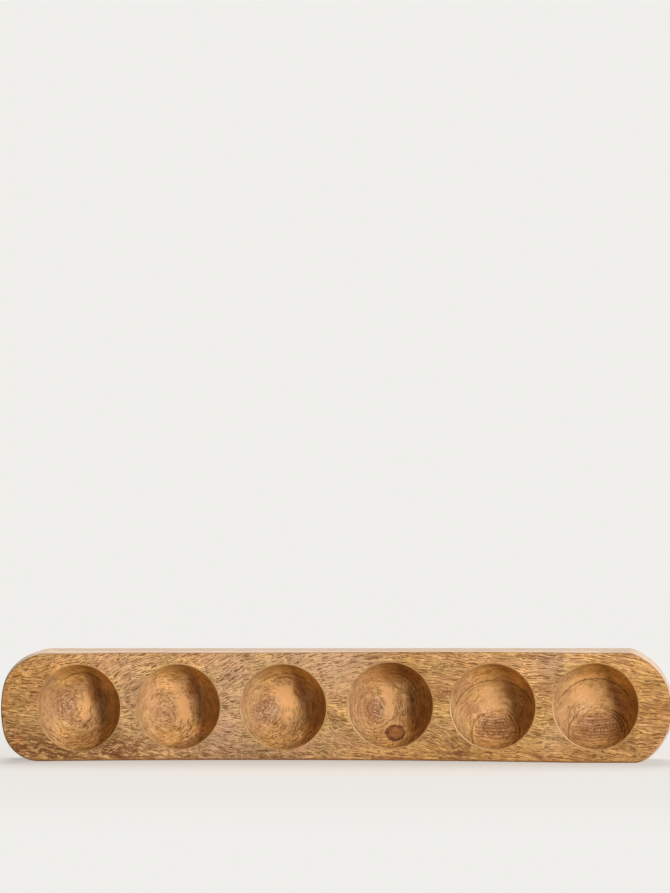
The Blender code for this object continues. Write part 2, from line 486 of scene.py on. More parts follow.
def turn(centre, radius, angles):
    """Points and outward normals on an arc: the centre plus the radius times cosine and sine."""
    normals = np.stack((np.cos(angles), np.sin(angles)), axis=1)
    return np.array(centre) + radius * normals, normals


def end_arcs(bulge, drop, lower_radius, upper_radius):
    """The right end of the outline, from the lower long edge to the upper one: a corner arc,
    the wide arc of the end, whose middle lies a little low, and a second corner arc, each
    tangent to the next. Gives points and outward normals."""
    radius = (HALF_WIDTH**2 + bulge**2) / (2 * bulge)
    end_x = HALF_LENGTH - radius
    centres, joins = [], []
    for corner_radius, upright in ((lower_radius, -1), (upper_radius, 1)):
        corner_z = upright * (HALF_WIDTH - corner_radius)
        reach = math.sqrt((radius - corner_radius) ** 2 - (corner_z + drop) ** 2)
        centres.append((end_x + reach, corner_z))
        joins.append(math.atan2(corner_z + drop, reach))
    low = np.linspace(-math.pi / 2, joins[0], CORNER_POINTS)
    wide = np.linspace(joins[0], joins[1], END_POINTS)[1:-1]
    high = np.linspace(joins[1], math.pi / 2, CORNER_POINTS)
    arcs = (
        turn(centres[0], lower_radius, low),
        turn((end_x, -drop), radius, wide),
        turn(centres[1], upper_radius, high),
    )
    return tuple(np.concatenate(parts) for parts in zip(*arcs))


def edge_run(start, walls, end, upright):
    """The points of a long edge between two corners, which are left out. It has a point at
    each wall between two hollows. Gives points, normals and the places of the walls."""
    stops = np.concatenate(([start], walls, [end]))
    counts = [max(2, round((b - a) / EDGE_STEP)) for a, b in zip(stops, stops[1:])]
    ends = zip(stops, stops[1:], counts)
    along = np.concatenate([np.linspace(a, b, count, endpoint=False) for a, b, count in ends])[1:]
    points = np.stack((along, np.full_like(along, upright * HALF_WIDTH)), axis=1)
    return points, np.tile((0.0, upright), (len(along), 1)), np.cumsum(counts[:-1]) - 1


def lower_rise(wood, x):
    """How far the lower long edge is bowed up: the bow times one minus the square of the
    distance from its middle, counted in its reach, and nothing past that."""
    rise, middle, reach = wood.bow
    return rise * np.maximum(1 - ((x - middle) / reach) ** 2, 0)


def outline_ring(wood, walls):
    """The whole outline, anticlockwise from the left tip as the face is seen, as points,
    normals and the places of the walls between the hollows on the lower and upper edge."""
    right, right_facing = end_arcs(*wood.right_end)
    bulge, drop, lower_radius, upper_radius = wood.left_end
    left, left_facing = (-part for part in end_arcs(bulge, -drop, upper_radius, lower_radius))
    lower, down, low_places = edge_run(left[-1, 0], walls, right[0, 0], -1.0)
    upper, up, high_places = edge_run(left[0, 0], walls, right[-1, 0], 1.0)
    ring = np.concatenate((lower, right, upper[::-1], left))
    facing = np.concatenate((down, right_facing, up[::-1], left_facing))
    low_share = smooth(0.3, -0.9, ring[:, 1] / HALF_WIDTH)
    ring[:, 1] += low_share * lower_rise(wood, ring[:, 0])
    tip = len(ring) - (len(left) + 1) // 2
    shift = len(ring) - tip
    low_places = low_places + shift
    high_places = shift + len(lower) + len(right) + len(upper) - 1 - high_places
    return np.roll(ring, shift, axis=0), np.roll(facing, shift, axis=0), low_places, high_places


def sanded_edge(ring):
    """The size of the edge's round-over at each point of the ring, more at the corners and a
    little more or less along the way, as by hand. It is one plus two slow waves and soft
    patches."""
    along = np.cumsum(np.hypot(*np.diff(ring, axis=0, append=ring[:1]).T))
    turns = math.tau * along / along[-1]
    waves = 0.06 * np.sin(5 * turns + 1.0) + 0.05 * np.sin(11 * turns)
    extra = blobs(SANDED_SHARES, ring[:, 0] / HALF_LENGTH, ring[:, 1] / HALF_WIDTH)
    return 1 + waves + extra


def edge_section(wood):
    """The section of a sanded edge from the face to the side wall, as the way in from the wall
    and the depth below the face: a tight arc up to the arris angle, then a wide one on to the
    upright. Along an arc the way out grows by the sine and the depth by the cosine."""
    tight = np.linspace(0, wood.arris_angle, ARRIS_POINTS)
    wide = np.linspace(wood.arris_angle, math.pi / 2, ROUND_POINTS)[1:]
    reach, sink = math.sin(wood.arris_angle), math.cos(wood.arris_angle)
    arris, round_over = wood.arris_round, wood.edge_round
    wide_out = arris * reach + round_over * (np.sin(wide) - reach)
    wide_depth = arris * (1 - sink) + round_over * (sink - np.cos(wide))
    out = np.concatenate((arris * np.sin(tight), wide_out))
    depth = np.concatenate((arris * (1 - np.cos(tight)), wide_depth))
    return out[-1] - out, depth


def cosine_steps(count):
    """Shares from 0 to 1 that lie close together at both ends."""
    return (1 - np.cos(np.linspace(0, math.pi, count + 1))) / 2


def hollow_section(wood, size):
    """The section of a hollow from its deepest point over the rim, as radius and depth: the
    arc of the ball, then the round-over that is tangent to the ball and to the face."""
    mouth = size * wood.hollow_diameter / 2
    deep = size * wood.hollow_depth
    ball = (mouth**2 + deep**2) / (2 * deep)
    ball_depth = deep - ball
    drop = wood.rim_round - ball_depth
    rim_radius = math.sqrt((ball + wood.rim_round) ** 2 - drop**2)
    join = math.atan2(drop, rim_radius)
    bowl = np.linspace(math.pi / 2, join, BOWL_POINTS)
    rim = np.linspace(join + math.pi, math.pi * 3 / 2, RIM_POINTS)[1:]
    radii = np.concatenate((ball * np.cos(bowl), rim_radius + wood.rim_round * np.cos(rim)))
    sines = (ball_depth + ball * np.sin(bowl), wood.rim_round * (1 + np.sin(rim)))
    return radii, np.concatenate(sines)


def hollow_patch(wood, centre, shares, border):
    """One cell of the face as a grid of points (x, depth, z). One parameter goes round the
    hollow, towards each point of the cell's border, and the other goes from the hollow's
    deepest point over its rim and on in a straight line to the border."""
    size, wide, high = shares[:3]
    middle = np.array(centre)
    away = border - middle
    angles = np.arctan2(away[:, 1], away[:, 0])
    heading = np.stack((wide * np.cos(angles), high * np.sin(angles)), axis=1)
    radii, depths = hollow_section(wood, size)
    bowl = middle + heading[:, None, :] * radii[None, :, None]
    out = cosine_steps(LAND_STEPS)[1:]
    rim = bowl[:, -1:, :]
    land = rim + (border[:, None, :] - rim) * out[None, :, None]
    flat = np.concatenate((bowl, land), axis=1)
    depth = np.broadcast_to(np.append(depths, np.zeros(len(out))), flat.shape[:2])
    return np.stack((flat[..., 0], depth, flat[..., 1]), axis=2)


def edge_band(ring, facing, sizes, section):
    """The band round the tray from the face to the underside: the edge's section, a straight
    wall and the section again, upside down, carried along the outline."""
    inset, depth = section
    reach = sizes[:, None]
    near, far = reach * depth, THICKNESS - reach * depth[::-1]
    wall = cosine_steps(SIDE_STEPS)[1:-1]
    between = near[:, -1:] + (far[:, :1] - near[:, -1:]) * wall
    depths = np.concatenate((near, between, far), axis=1)
    insets = np.concatenate((reach * inset, 0 * between, reach * inset[::-1]), axis=1)
    flat = ring[:, None, :] - facing[:, None, :] * insets[..., None]
    return np.stack((flat[..., 0], depths, flat[..., 1]), axis=2)


def underside(ring, low_places, high_places):
    """The flat underside: straight rungs from points of the lower half of the ring to points
    of the upper half, divided evenly. Where the halves differ in number, the shorter one
    repeats points, which are welded later."""
    total = len(ring)
    lows = np.concatenate(([0], low_places, [total // 2]))
    highs = np.concatenate(([total], high_places, [total // 2]))
    lower, upper = [], []
    for low_start, low_end, high_start, high_end in zip(lows, lows[1:], highs, highs[1:]):
        count = max(low_end - low_start, high_start - high_end)
        share = np.linspace(0, 1, count + 1)[:-1]
        lower.append(np.floor(low_start + (low_end - low_start) * share + 0.5))
        upper.append(np.floor(high_start + (high_end - high_start) * share + 0.5))
    lower = np.append(np.concatenate(lower), total // 2).astype(int)
    upper = np.append(np.concatenate(upper), total // 2).astype(int) % total
    rungs = cosine_steps(RUNG_STEPS)
    flat = ring[lower][:, None, :] + (ring[upper] - ring[lower])[:, None, :] * rungs[:, None]
    depth = np.full(flat.shape[:2], THICKNESS)
    return np.stack((flat[..., 0], depth, flat[..., 1]), axis=2)


def cell_borders(ring, low_places, high_places):
    """The border of each hollow's cell on the face, anticlockwise: runs of the ring, and
    walls of evenly spaced points between the cells."""
    share = np.linspace(0, 1, WALL_POINTS)[1:-1, None]
    ends = zip(low_places, high_places)
    walls = [ring[low] + (ring[high] - ring[low]) * share for low, high in ends]
    borders = [np.concatenate((ring[high_places[0] :], ring[: low_places[0] + 1], walls[0]))]
    for place in range(1, len(walls)):
        lower = ring[low_places[place - 1] : low_places[place] + 1]
        upper = ring[high_places[place] : high_places[place - 1] + 1]
        borders.append(np.concatenate((lower, walls[place], upper, walls[place - 1][::-1])))
    last = ring[low_places[-1] : high_places[-1] + 1]
    borders.append(np.concatenate((last, walls[-1][::-1])))
    return borders


def grid_faces(rows, columns, start, closed):
    """Quads over a grid of points, row by row. A closed grid joins its last row to its first."""
    index = start + np.arange(rows * columns).reshape(rows, columns)
    following = np.roll(index, -1, axis=0) if closed else index[1:]
    index = index if closed else index[:-1]
    quads = (index[:, :-1], index[:, 1:], following[:, 1:], following[:, :-1])
    return np.stack(quads, axis=2).reshape(-1, 4)


def mesh_from_grids(name, grids):
    """Welds grids of points into one mesh. Each entry is a grid and whether it is closed."""
    points, faces, start = [], [], 0
    for grid, closed in grids:
        rows, columns = grid.shape[:2]
        points.append(grid.reshape(-1, 3))
        faces.append(grid_faces(rows, columns, start, closed))
        start += rows * columns
    mesh = bpy.data.meshes.new(name)
    mesh.from_pydata(np.concatenate(points).tolist(), [], np.concatenate(faces).tolist())
    form = bmesh.new()
    form.from_mesh(mesh)
    bmesh.ops.remove_doubles(form, verts=form.verts, dist=WELD_REACH)
    form.to_mesh(mesh)
    form.free()
    mesh.shade_smooth()
    return mesh


def read_vectors(source, name):
    """A vector of each point, such as its place or its normal, as an array."""
    values = np.empty(len(source) * 3, np.float32)
    source.foreach_get(name, values)
    return values.reshape(-1, 3).astype(float)


def write_attribute(mesh, name, values):
    """Stores one number for each point of the mesh."""
    attribute = mesh.attributes.new(name, "FLOAT", "POINT")
    attribute.data.foreach_set("value", values.astype(np.float32))


def places(wood, points, normals):
    """Where each point lies: from the tray's middle, below the face and in the nearest hollow.
    The places u and w are shares of that hollow's radius, and reach is how far they are from
    its middle."""
    x, z = points[:, 0], points[:, 2] - MIDDLE_Z
    centres = np.array(hollow_centres())
    hollow = np.abs(x[:, None] - centres[None, :, 0]).argmin(axis=1)
    size, wide, high, lit, tone = np.array(HOLLOW_SHARES)[hollow].T
    mouth = size * wood.hollow_diameter / 2
    off_x, off_z = x - centres[hollow, 0], z - centres[hollow, 1]
    u, w = off_x / (mouth * wide), off_z / (mouth * high)
    reach = np.hypot(u, w)
    return SimpleNamespace(
        x=x,
        z=z,
        depth=points[:, 1] - FACE_Y,
        along=x / HALF_LENGTH,
        across=z / HALF_WIDTH,
        normals=normals,
        tilt=np.hypot(normals[:, 0], normals[:, 2]),
        hollow=hollow,
        mouth=mouth,
        deep=size * wood.hollow_depth,
        lit=lit,
        tone=tone,
        off_x=off_x,
        off_z=off_z,
        u=u,
        w=w,
        reach=reach,
        inside=(1 - smooth(1.00, 1.03, reach)) * (normals[:, 1] < 0),
    )


def layer_field(wood, at):
    """The growth layer of each point, in millimetres. The layers lean in each hollow, so their
    depth below the hollow's heart is the ball's radius minus the distance along the leaning
    normal. They show as rings, whose radius is the root of twice the ball's radius times that
    depth. Between the hollows they follow the face, with a slow drift."""
    ball = (at.mouth**2 + at.deep**2) / (2 * at.deep)
    lean_x, lean_z = np.array(LEAN_SHARES)[at.hollow].T
    along = at.depth - at.deep + ball + lean_x * at.off_x + lean_z * at.off_z
    below_heart = ball - along / np.sqrt(1 + lean_x**2 + lean_z**2)
    rings = np.sqrt(2 * ball * np.maximum(below_heart, 0))
    slow = DRIFT_SLOW * np.sin(at.x / DRIFT_ALONG + 0.6)
    quick = DRIFT_QUICK * np.sin(at.x / DRIFT_SHORT + at.z / DRIFT_ACROSS)
    drift = slow + 0.10 * at.z + quick
    plain = wood.hollow_depth * 1.1 - at.depth + drift
    return (at.inside * rings + (1 - at.inside) * plain) * MM


def wall_fields(at):
    """Where the hollows' steep walls take a painted amber shade, where they are calm, without
    streaks, and how bright their wood is drawn: its tone with painted light and shade."""
    u, w = at.u, at.w
    # Painted shade: the walls turned away from the key light, most of all on the right, are tinted
    # amber for the warm light that the walls throw on each other in their shade.
    steep = smooth(0.45, 0.95, at.reach) * smooth(-0.9, 0.1, u / np.maximum(at.reach, 0.01))
    steep = steep * (1 - 0.65 * smooth(0.3, 0.8, -w))
    wall = np.maximum(smooth(0.30, 0.60, u), smooth(0.50, 0.75, -u)) * (1 - smooth(0.3, 0.7, -w))
    wall = np.maximum(wall, 0.7 * smooth(0.55, 0.80, w))
    wall = wall * np.where(at.hollow == KNOT_HOLLOW, 0.5, 1)
    wall = np.maximum(wall, 0.75 * (at.hollow > KNOT_HOLLOW) * smooth(-0.35, 0.0, w))
    wall = np.maximum(wall, 0.45 * smooth(0.25, 0.45, w))
    # Painted shade and painted light: the lit left and middle walls are drawn darker, and the
    # shaded upper and lower right walls lighter, as the light falls on them.
    lit_walls = (1 - smooth(0.35, 0.80, u)) * (1 - 0.8 * smooth(0.35, 0.85, -w))
    painted_lift = 1 + 0.48 * smooth(0.28, 0.62, np.abs(w)) * smooth(0.20, 0.48, u)
    painted_lift = painted_lift + hollow_blobs(LIGHT_AND_SHADE_SHARES, at)
    return {
        "shade_amber": steep * at.inside,
        "wall": wall * at.inside,
        "bright": 1 + at.inside * (at.tone * painted_lift * (1 - 0.20 * lit_walls) - 1),
    }


def mark_fields(at):
    """The marks in the hollows: hearts with their sagging lines, thin arcs, pale parts that are
    partly painted light, painted shade, dark flecks with painted glints, and the knot with its
    middle."""
    u, w, inside = at.u, at.w, at.inside
    heart = np.array(HEART_SHARES)[at.hollow]
    swell = np.hypot((u - heart[:, 0]) / heart[:, 2], (w - heart[:, 1]) / heart[:, 3])
    knot_along, knot_across, knot_long, knot_high = KNOT_SHARES
    knot_u, knot_w = (u - knot_along) / knot_long, (w - knot_across) / knot_high
    core_along, core_across, core_size = KNOT_CORE_SHARES
    core = np.hypot(knot_u - core_along, knot_w - core_across) / core_size
    in_knot = (at.hollow == KNOT_HOLLOW) & (inside > 0.5)
    fields = {
        "heart": np.where(inside > 0.5, 1 - swell, -1.0),
        "speckle": heart[:, 4] * inside,
        "lined": heart[:, 5] * inside,
        "heart_share": heart[:, 6] * inside * (1 - 0.9 * smooth(0.70, 0.92, -w)),
        "smile": (at.off_z - 0.30 * at.off_x**2 / at.mouth) * MM,
        "arc": np.where(inside > 0.5, arc_distance(at), FAR),
        "knot_ring": np.where(in_knot, np.hypot(knot_u, knot_w), FAR),
        "knot_heart": np.where(in_knot, core, FAR),
    }
    tables = {"pale_and_lit_part": PALE_AND_LIT_SHARES, "shaded": PAINTED_SHADE_SHARES, "fleck_glint": FLECK_GLINT_SHARES}
    for name, table in tables.items():
        fields[name] = np.clip(hollow_blobs(table, at), 0, 1) * inside
    return fields


def edge_fields(wood, at):
    """The sanded edges: the dark arris of the outline, partly painted shade and darkest along the
    lower edge, the painted highlight on the hollows' rims, the painted highlight on the shoulders
    that face up or right, the narrow sides, the painted light on the one of them that faces up, and
    the end grain."""
    tilt, facing, outer = at.tilt, at.normals[:, (0, 2)], at.reach > RIM_SHARE
    # Partly painted shade: a dark line where the edge starts to round over, and along the long
    # edges, twice as strong at the lower one.
    arris = hump(0.05, 0.30, 0.55, 0.75, tilt)
    inwards = HALF_WIDTH - np.where(at.z < 0, lower_rise(wood, at.x) - at.z, at.z)
    shaded_long_edge = smooth(*ARRIS_STRIP, inwards) * np.where(at.z > 0, 0.45, 1)
    arris = np.maximum(arris, shaded_long_edge) * (at.depth < ARRIS_DEEP)
    upward = facing / np.maximum(tilt, 0.05)[:, None]
    # Painted highlight: a pale line on the hollows' rims where they face up and to the right,
    # towards the light.
    rim = hump(0.15, 0.50, 0.85, 0.95, tilt) * (at.reach < RIM_SHARE) * (at.depth < ARRIS_DEEP)
    rim = rim * at.lit * smooth(0.45, 0.90, upward @ (0.79, 0.61))
    # Painted highlight: the rounded shoulders that face up or right, and the upper left corner, are
    # drawn pale as where the light catches them.
    shoulder = hump(0.52, 0.72, 0.97, 1.00, tilt) * (1 - 0.45 * smooth(0.75, 0.85, at.along))
    turned = np.maximum(smooth(0.15, 0.55, upward[:, 1]), smooth(0.2, 0.6, upward[:, 0]))
    shoulder = shoulder * turned
    corner = smooth(0.75, 0.86, -at.along) * smooth(0.10, 0.50, facing[:, 1])
    shoulder = np.maximum(shoulder, corner * smooth(0.60, 0.80, tilt))
    # Painted light: the sides that face up or up and to the right are drawn pale.
    lit_top_side = smooth(0.05, 0.80, np.maximum(facing @ (0.70, 0.71), 0.95 * facing[:, 1]))
    return {
        "arris": arris,
        "rim": rim,
        "painted_highlight": shoulder * outer * (at.depth < SHOULDER_DEEP),
        "side": smooth(0.80, 1.00, tilt) * (1 - at.inside),
        "lit_top_side": lit_top_side * outer * (1 - at.inside),
        "end_grain": facing[:, 0] ** 2,
    }


def board_fields(at):
    """The patches of the board: the lie of its fibres, and its grey, dark, golden and orange parts.
    The dark parts along the lower edge are partly painted shade."""
    tables = (LIE_SHARES, GREY_SHARES, DARK_SHARES, GOLD_SHARES, FLARE_SHARES)
    lie, *patches = (blobs(table, at.along, at.across) for table in tables)
    grey, dark, gold, flare = np.clip(patches, 0, 1)
    outside = 1 - at.inside
    return {
        "lie": np.radians(lie - 2) * outside,
        "grey": grey * outside + 0.55 * at.inside * smooth(0.45, 0.75, -at.u),
        "dark": dark * outside,
        "gold": gold * (1 - 0.5 * at.inside),
        "flare": flare * outside,
    }


def wood_fields(wood, points, normals):
    """What the wood is like at each point, as a dictionary of arrays."""
    at = places(wood, points, normals)
    return {
        "inside": at.inside,
        "layer": layer_field(wood, at),
        **wall_fields(at),
        **mark_fields(at),
        **edge_fields(wood, at),
        **board_fields(at),
    }


def tray_mesh(wood):
    """The wooden block as one closed surface: a grid round each hollow, the band of the edge
    and the underside. The faces wave by two slow sines, inwards only."""
    centres = hollow_centres()
    walls = [(a[0] + b[0]) / 2 for a, b in zip(centres, centres[1:])]
    ring, facing, low_places, high_places = outline_ring(wood, walls)
    sizes, section = sanded_edge(ring), edge_section(wood)
    inner = ring - facing * (sizes * section[0][0])[:, None]
    borders = cell_borders(inner, low_places, high_places)
    grids = [
        (hollow_patch(wood, centre, shares, border), True)
        for centre, shares, border in zip(centres, HOLLOW_SHARES, borders)
    ]
    grids.append((edge_band(ring, facing, sizes, section), True))
    grids.append((underside(inner, low_places, high_places), False))
    mesh = mesh_from_grids("tray_wood", grids)
    points = read_vectors(mesh.vertices, "co")
    x, depth, z = points.T
    wave = 2 + np.sin(x / WAVE_ALONG + 1.3) * np.sin(z / WAVE_ACROSS) + np.sin(x / WAVE_LONG)
    share = 1 - depth / THICKNESS
    points[:, 1] = FACE_Y + depth + wood.waviness / 4 * wave * (2 * share - 1)
    points[:, 2] += MIDDLE_Z
    mesh.vertices.foreach_set("co", points.astype(np.float32).ravel())
    mesh.update()
    normals = read_vectors(mesh.vertex_normals, "vector")
    for name, values in wood_fields(wood, points, normals).items():
        write_attribute(mesh, name, values)
    return mesh


class Weaver:
    """Adds nodes to a node tree and joins them."""

    def __init__(self, tree):
        self.tree = tree

    def put(self, socket, value):
        """Joins a socket to another, or gives it a plain value."""
        if isinstance(value, bpy.types.NodeSocket):
            self.tree.links.new(value, socket)
        else:
            socket.default_value = value

    def add(self, kind, sockets=None, **options):
        """A new node with its options set, and its inputs given by name or number."""
        node = self.tree.nodes.new(kind)
        for name, value in options.items():
            setattr(node, name, value)
        self.fill(node, sockets or {})
        return node

    def fill(self, node, sockets):
        """Gives a node's inputs, by name or number, what they take."""
        for name, value in sockets.items():
            self.put(node.inputs[name], value)

    def math(self, operation, *values, clamp=False):
        """The result of one sum on numbers."""
        sockets = dict(enumerate(values))
        node = self.add("ShaderNodeMath", sockets, operation=operation, use_clamp=clamp)
        return node.outputs[0]

    def vector(self, operation, *values):
        """The result of one sum on vectors."""
        node = self.add("ShaderNodeVectorMath", operation=operation)
        for socket, value in zip(node.inputs, values):
            self.put(socket, value)
        return node.outputs["Value" if operation in ("DOT_PRODUCT", "LENGTH") else "Vector"]

    def mix(self, share, first, second, blend="MIX"):
        """Two colours mixed by a share."""
        node = self.add("ShaderNodeMix", data_type="RGBA", blend_type=blend)
        self.put(node.inputs[0], share)
        for socket, value in ((node.inputs[6], first), (node.inputs[7], second)):
            plain = isinstance(value, bpy.types.NodeSocket)
            self.put(socket, value if plain else (*value, 1.0))
        return node.outputs[2]

    def scaled(self, shade, factor):
        """A colour made darker or lighter."""
        node = self.add("ShaderNodeVectorMath", {0: shade}, operation="SCALE")
        self.put(node.inputs["Scale"], factor)
        return node.outputs[0]

    def between(self, low, high, value, start=0.0, end=1.0):
        """A value carried smoothly from one range to another."""
        sockets = dict(enumerate((value, low, high, start, end)))
        return self.add(
            "ShaderNodeMapRange", sockets, interpolation_type="SMOOTHSTEP"
        ).outputs[0]

    def noise(self, vector, scale=1.0, detail=2.0, roughness=0.5, distortion=0.0):
        """A noise texture, whose outputs are a value and a colour."""
        names = ("Vector", "Scale", "Detail", "Roughness", "Distortion")
        given = (vector, scale, detail, roughness, distortion)
        return self.add("ShaderNodeTexNoise", dict(zip(names, given))).outputs

    def attribute(self, name):
        """A number stored on the mesh."""
        return self.add("ShaderNodeAttribute", attribute_name=name).outputs["Fac"]

    def times(self, first, second):
        """The product of two numbers."""
        return self.math("MULTIPLY", first, second)

    def plus(self, first, second):
        """The sum of two numbers."""
        return self.math("ADD", first, second)

    def spread(self, place, shares):
        """A vector whose parts are each multiplied by a number of their own."""
        return self.vector("MULTIPLY", place, shares)

    def parts(self, place):
        """The three parts of a vector."""
        return self.add("ShaderNodeSeparateXYZ", {0: place}).outputs

    def joined(self, *parts):
        """A vector made of three parts."""
        return self.add("ShaderNodeCombineXYZ", dict(enumerate(parts))).outputs[0]

    def object_place(self):
        """The place on the object, in millimetres."""
        return self.spread(self.add("ShaderNodeTexCoord").outputs["Object"], (MM, MM, MM))

    def pattern(self, place, shares, detail=3.0, roughness=0.6, distortion=0.0):
        """The value of a noise whose place is drawn out first."""
        return self.noise(self.spread(place, shares), 1.0, detail, roughness, distortion)[0]

    def bump(self, height, strength, distance):
        """A normal that is tilted by the slope of a height."""
        sockets = {"Height": height, "Strength": strength, "Distance": distance}
        return self.add("ShaderNodeBump", sockets).outputs[0]

    def rays(self, *kinds):
        """One for rays of any of these kinds, and zero for others."""
        path = self.add("ShaderNodeLightPath").outputs
        found = 0.0
        for kind in kinds:
            found = self.math("MAXIMUM", found, path[f"Is {kind} Ray"])
        return found

    def either(self, share, first, second):
        """Two shaders mixed by a share."""
        return self.add("ShaderNodeMixShader", {0: share, 1: first, 2: second}).outputs[0]


def new_group(name, inputs, outputs):
    """A shader node group with named number and vector sockets."""
    tree = bpy.data.node_groups.new(name, "ShaderNodeTree")
    kinds = {"number": "NodeSocketFloat", "vector": "NodeSocketVector"}
    for way, sockets in (("INPUT", inputs), ("OUTPUT", outputs)):
        for label, kind in sockets.items():
            tree.interface.new_socket(label, in_out=way, socket_type=kinds[kind])
    weaver = Weaver(tree)
    return weaver, weaver.add("NodeGroupInput").outputs, weaver.add("NodeGroupOutput").inputs


def fibres_group():
    """Wood fibres that lie at an angle: long streaks, and short open pores among them. The
    place is turned back by the angle and divided by the fibres' length, width and depth."""
    weave, given, result = new_group(
        "Tray Fibres",
        {"Place": "vector", "Angle": "number", "Stretch": "vector"},
        {"Streak": "number", "Pore": "number"},
    )
    sockets = {"Vector": given["Place"], "Angle": weave.times(given["Angle"], -1.0)}
    turned = weave.add("ShaderNodeVectorRotate", sockets, rotation_type="Z_AXIS").outputs[0]
    drawn = weave.vector("DIVIDE", turned, given["Stretch"])
    streak = weave.noise(drawn, detail=4.0, roughness=0.70, distortion=0.15)[0]
    finer = weave.vector("ADD", weave.spread(drawn, (1.2, 1.2, 1.2)), (31.0, 17.0, 5.0))
    pore = weave.noise(finer, detail=1.0, roughness=0.5, distortion=0.2)[0]
    sockets = {"Vector": weave.spread(drawn, (2.0, 1.0, 1.0)), "Scale": 1.0}
    cell = weave.add("ShaderNodeTexVoronoi", sockets).outputs
    dash = weave.times(weave.parts(cell["Color"])[0], 0.54)
    dash = weave.between(-0.06, 0.05, weave.math("SUBTRACT", dash, cell["Distance"]))
    pore = weave.math("MAXIMUM", weave.between(0.585, 0.65, pore), dash)
    weave.put(result["Streak"], weave.between(0.28, 0.69, streak))
    weave.put(result["Pore"], pore)
    return weave.tree


def new_material(name):
    """A new material with nodes, and its shader."""
    material = bpy.data.materials.new(name)
    material.use_nodes = True
    return material, material.node_tree.nodes["Principled BSDF"]


